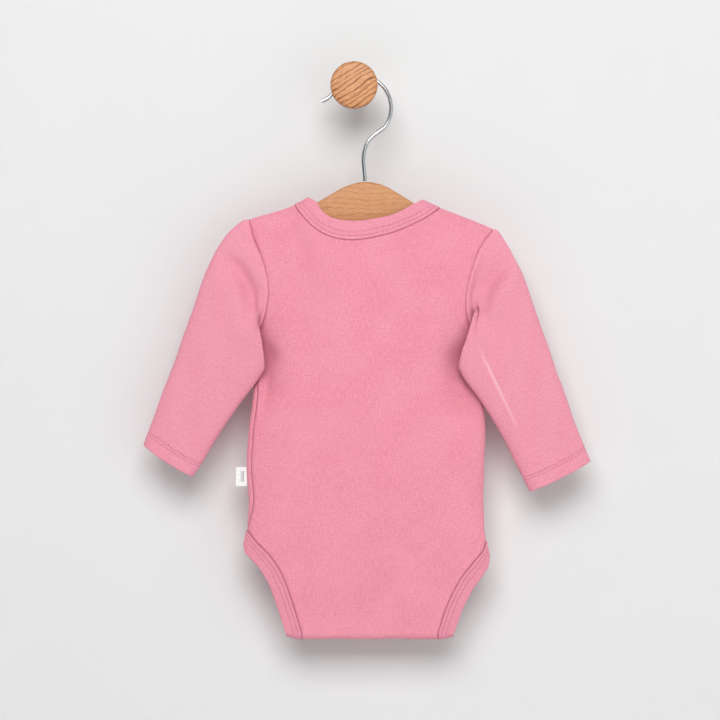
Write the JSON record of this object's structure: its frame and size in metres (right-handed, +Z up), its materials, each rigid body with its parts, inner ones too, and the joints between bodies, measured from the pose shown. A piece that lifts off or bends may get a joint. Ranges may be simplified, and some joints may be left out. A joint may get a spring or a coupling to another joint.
{
  "type": "baby bodysuit on a hanger and wall peg",
  "caption": "Long-sleeved knitted baby bodysuit with bound neck and leg openings, hung flat by a small wooden hanger and wire hook from a round wooden wall peg.",
  "frame": {"origin": "centre of the wall peg's flat back face, where the peg is fixed to the wall", "axes": "+Z up; +Y into the wall; the room and the garment's back are towards -Y; +X to the right as seen from the room"},
  "size_m": [0.3897, 0.0602, 0.5021],
  "materials": {
    "body_cotton": "matt fine rib knit cotton",
    "sleeve_cotton": "matt fine rib knit cotton",
    "binding_cotton": "matt knit cotton, folded and coverstitched",
    "label_tape": "smooth woven tape",
    "snap_cap": "satin",
    "beech": "fine sanded, unvarnished",
    "steel_wire": "polished",
    "oak": "oiled, with dark growth rings"
  },
  "bodies": {
    "root": {"back_panel": "body_cotton", "front_panel": "body_cotton", "sleeve_left": "sleeve_cotton", "sleeve_right": "sleeve_cotton", "neck_binding": "binding_cotton", "leg_binding_left": "binding_cotton", "leg_binding_right": "binding_cotton", "side_label": "label_tape", "snap_1": "snap_cap", "snap_2": "snap_cap", "snap_3": "snap_cap", "hanger": "beech", "hanger_hook": "steel_wire", "wall_peg": "oak"}
  },
  "joints": []
}
